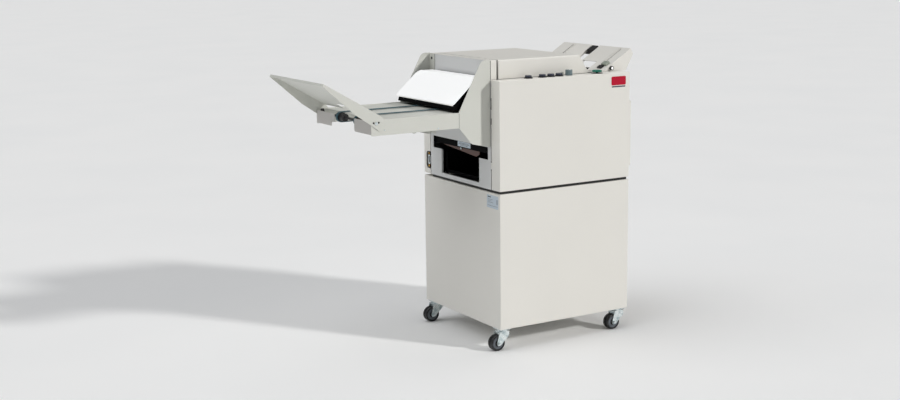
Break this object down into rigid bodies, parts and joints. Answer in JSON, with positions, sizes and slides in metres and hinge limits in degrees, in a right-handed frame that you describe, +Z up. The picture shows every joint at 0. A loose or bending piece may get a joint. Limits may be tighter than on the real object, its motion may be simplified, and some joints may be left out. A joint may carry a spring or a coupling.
{
  "type": "card slitting and creasing machine",
  "caption": "Floor-standing sheet finishing machine on a caster cabinet, with an inclined feeder, exit guard, belt delivery tray with a hinged wing, and a pull-out waste bin.",
  "frame": {"origin": "point on the floor under the centre of the cabinet", "axes": "+X along the sheet path towards the feeder end, +Y from the operator's side to the rear, +Z up"},
  "size_m": [1.4474, 0.6, 1.193],
  "materials": {
    "paint": "fine textured powder coat, warm light grey",
    "paint_inner": "smooth cool grey coat",
    "guard_white": "satin white",
    "zinc": "bright zinc plate",
    "steel": "ground steel",
    "black_plastic": "matt black",
    "black_rubber": "satin black rubber",
    "caster_tread": "black solid rubber tread",
    "belt": "teal woven belt",
    "flap_brown": "dark brown moulding",
    "button_dark": "dark blue-grey caps",
    "knob_grey": "grey-teal moulding",
    "button_green": "green moulding",
    "black_steel": "oil-blackened steel",
    "badge_red": "plain red film",
    "label": "blank pale film",
    "circuit": "green laminate with black parts"
  },
  "bodies": {
    "machine": {"cabinet_shell": "paint", "hinge_pins": "black_steel", "caster_plates": "zinc", "machine_feet": "black_rubber", "base_plate": "paint_inner", "frame_front": "steel", "frame_rear": "steel", "exit_end_panel": "paint", "feed_end_panel": "paint_inner", "end_cover": "paint", "top_strip": "paint", "rear_housing": "paint", "port_connector": "black_plastic", "cheek_front": "paint", "cheek_rear": "paint", "nip_guard": "black_plastic", "exit_tray": "paint", "tray_end_plates": "paint_inner", "delivery_belts": "belt", "shaft_bearings": "black_plastic", "wing_pivots": "zinc", "chute_guard": "black_plastic", "cutter_bed": "steel", "drive_motor": "black_steel", "power_supply": "zinc", "control_board": "circuit", "feed_plate_front": "paint", "feed_plate_rear": "paint", "power_inlet": "black_plastic"},
    "front_door": {"front_door": "paint", "button_bezels": "black_plastic"},
    "cabinet_door": {"cabinet_door": "paint"},
    "hood": {"hood": "paint"},
    "exit_guard": {"exit_guard": "guard_white"},
    "wing": {"wing": "paint"},
    "waste_bin": {"waste_bin": "black_plastic"},
    "waste_flap": {"waste_flap": "flap_brown"},
    "caster_1": {"caster_fork_1": "zinc"},
    "wheel_1": {"caster_wheel_1": "caster_tread"},
    "caster_2": {"caster_fork_2": "zinc"},
    "wheel_2": {"caster_wheel_2": "caster_tread"},
    "caster_3": {"caster_fork_3": "zinc"},
    "wheel_3": {"caster_wheel_3": "caster_tread"},
    "caster_4": {"caster_fork_4": "zinc"},
    "wheel_4": {"caster_wheel_4": "caster_tread"},
    "belt_drive_roller": {"belt_drive_roller": "black_rubber"},
    "belt_end_roller": {"belt_end_roller": "black_rubber"},
    "slitter_upper": {"slitter_shaft_upper": "steel"},
    "slitter_lower": {"slitter_shaft_lower": "steel"},
    "cutter_blade": {"cutter_blade": "steel"},
    "feed_roller": {"feed_roller": "black_rubber"},
    "back_stop": {"back_stop": "black_plastic"},
    "clamp_knob": {"clamp_knob": "black_plastic"},
    "button_1": {"button_1": "button_dark"},
    "button_2": {"button_2": "button_dark"},
    "button_3": {"button_3": "button_dark"},
    "button_4": {"button_4": "button_dark"},
    "start_button": {"start_button": "button_green"},
    "mode_knob": {"mode_knob": "knob_grey"},
    "power_switch": {"power_switch": "black_plastic"}
  },
  "joints": [
    {"name": "front_door_hinge", "type": "hinge", "parent": "machine", "child": "front_door", "pos_m": [-0.3207, -0.2375, 0.88], "axis": [0, 0, -1], "range_deg": [0, 85]},
    {"name": "cabinet_door_hinge", "type": "hinge", "parent": "machine", "child": "cabinet_door", "pos_m": [-0.2855, 0.294, 0.371], "axis": [0, 0, 1], "range_deg": [0, 105]},
    {"name": "hood_hinge", "type": "hinge", "parent": "machine", "child": "hood", "pos_m": [-0.05, 0.236, 1.109], "axis": [-1, 0, 0], "range_deg": [0, 70]},
    {"name": "exit_guard_hinge", "type": "hinge", "parent": "machine", "child": "exit_guard", "pos_m": [-0.336, 0.003, 1.106], "axis": [0, 1, 0], "range_deg": [0, 60]},
    {"name": "wing_hinge", "type": "hinge", "parent": "machine", "child": "wing", "pos_m": [-0.838, 0.003, 0.969], "axis": [0, 1, 0], "range_deg": [-30, 20]},
    {"name": "waste_bin_slide", "type": "slide", "parent": "machine", "child": "waste_bin", "axis": [-1, 0, 0], "range_m": [0, 0.4]},
    {"name": "waste_flap_hinge", "type": "hinge", "parent": "machine", "child": "waste_flap", "pos_m": [-0.299, 0.003, 0.825], "axis": [0, 1, 0], "range_deg": [-50, 15]},
    {"name": "caster_swivel_1", "type": "hinge", "parent": "machine", "child": "caster_1", "pos_m": [-0.293, -0.265, 0.08], "axis": [0, 0, 1], "continuous": true},
    {"name": "wheel_axle_1", "type": "hinge", "parent": "caster_1", "child": "wheel_1", "pos_m": [-0.321, -0.265, 0.033], "axis": [0, 1, 0], "continuous": true},
    {"name": "caster_swivel_2", "type": "hinge", "parent": "machine", "child": "caster_2", "pos_m": [0.293, -0.265, 0.08], "axis": [0, 0, 1], "continuous": true},
    {"name": "wheel_axle_2", "type": "hinge", "parent": "caster_2", "child": "wheel_2", "pos_m": [0.265, -0.265, 0.033], "axis": [0, 1, 0], "continuous": true},
    {"name": "caster_swivel_3", "type": "hinge", "parent": "machine", "child": "caster_3", "pos_m": [-0.293, 0.265, 0.08], "axis": [0, 0, 1], "continuous": true},
    {"name": "wheel_axle_3", "type": "hinge", "parent": "caster_3", "child": "wheel_3", "pos_m": [-0.321, 0.265, 0.033], "axis": [0, 1, 0], "continuous": true},
    {"name": "caster_swivel_4", "type": "hinge", "parent": "machine", "child": "caster_4", "pos_m": [0.293, 0.265, 0.08], "axis": [0, 0, 1], "continuous": true},
    {"name": "wheel_axle_4", "type": "hinge", "parent": "caster_4", "child": "wheel_4", "pos_m": [0.265, 0.265, 0.033], "axis": [0, 1, 0], "continuous": true},
    {"name": "belt_drive_spin", "type": "hinge", "parent": "machine", "child": "belt_drive_roller", "pos_m": [-0.347, 0.003, 0.964], "axis": [0, 1, 0], "continuous": true},
    {"name": "belt_end_spin", "type": "hinge", "parent": "machine", "child": "belt_end_roller", "pos_m": [-0.833, 0.003, 0.964], "axis": [0, 1, 0], "continuous": true},
    {"name": "slitter_upper_spin", "type": "hinge", "parent": "machine", "child": "slitter_upper", "pos_m": [-0.1, 0.003, 1.011], "axis": [0, 1, 0], "continuous": true},
    {"name": "slitter_lower_spin", "type": "hinge", "parent": "machine", "child": "slitter_lower", "pos_m": [-0.1, 0.003, 0.962], "axis": [0, 1, 0], "continuous": true},
    {"name": "cutter_stroke", "type": "slide", "parent": "machine", "child": "cutter_blade", "axis": [0, 0, -1], "range_m": [0, 0.026]},
    {"name": "feed_roller_spin", "type": "hinge", "parent": "machine", "child": "feed_roller", "pos_m": [0.262, 0.003, 1.088], "axis": [0, 1, 0], "continuous": true},
    {"name": "back_stop_slide", "type": "slide", "parent": "machine", "child": "back_stop", "axis": [-0.8526, 0, -0.5225], "range_m": [0, 0.045]},
    {"name": "clamp_knob_turn", "type": "hinge", "parent": "machine", "child": "clamp_knob", "pos_m": [0.273, -0.24, 1.116], "axis": [0, 1, 0], "range_deg": [0, 180]},
    {"name": "button_1_press", "type": "slide", "parent": "front_door", "child": "button_1", "axis": [0, 0, -1], "range_m": [0, 0.003], "stiffness_N_per_m": 400, "springref_m": -0.002},
    {"name": "button_2_press", "type": "slide", "parent": "front_door", "child": "button_2", "axis": [0, 0, -1], "range_m": [0, 0.003], "stiffness_N_per_m": 400, "springref_m": -0.002},
    {"name": "button_3_press", "type": "slide", "parent": "front_door", "child": "button_3", "axis": [0, 0, -1], "range_m": [0, 0.003], "stiffness_N_per_m": 400, "springref_m": -0.002},
    {"name": "button_4_press", "type": "slide", "parent": "front_door", "child": "button_4", "axis": [0, 0, -1], "range_m": [0, 0.003], "stiffness_N_per_m": 400, "springref_m": -0.002},
    {"name": "start_button_press", "type": "slide", "parent": "front_door", "child": "start_button", "axis": [0, 0, -1], "range_m": [0, 0.004], "stiffness_N_per_m": 500, "springref_m": -0.002},
    {"name": "mode_knob_turn", "type": "hinge", "parent": "front_door", "child": "mode_knob", "pos_m": [0.036, -0.266, 1.1], "axis": [0, 0, 1], "range_deg": [-135, 135]},
    {"name": "power_switch_rock", "type": "hinge", "parent": "machine", "child": "power_switch", "pos_m": [0.38, 0.121, 0.741], "axis": [0, 1, 0], "range_deg": [-8, 8]}
  ],
  "couplings": [
    {"joint": "belt_end_spin", "follows": "belt_drive_spin", "ratio": 1},
    {"joint": "slitter_lower_spin", "follows": "slitter_upper_spin", "ratio": -1}
  ]
}
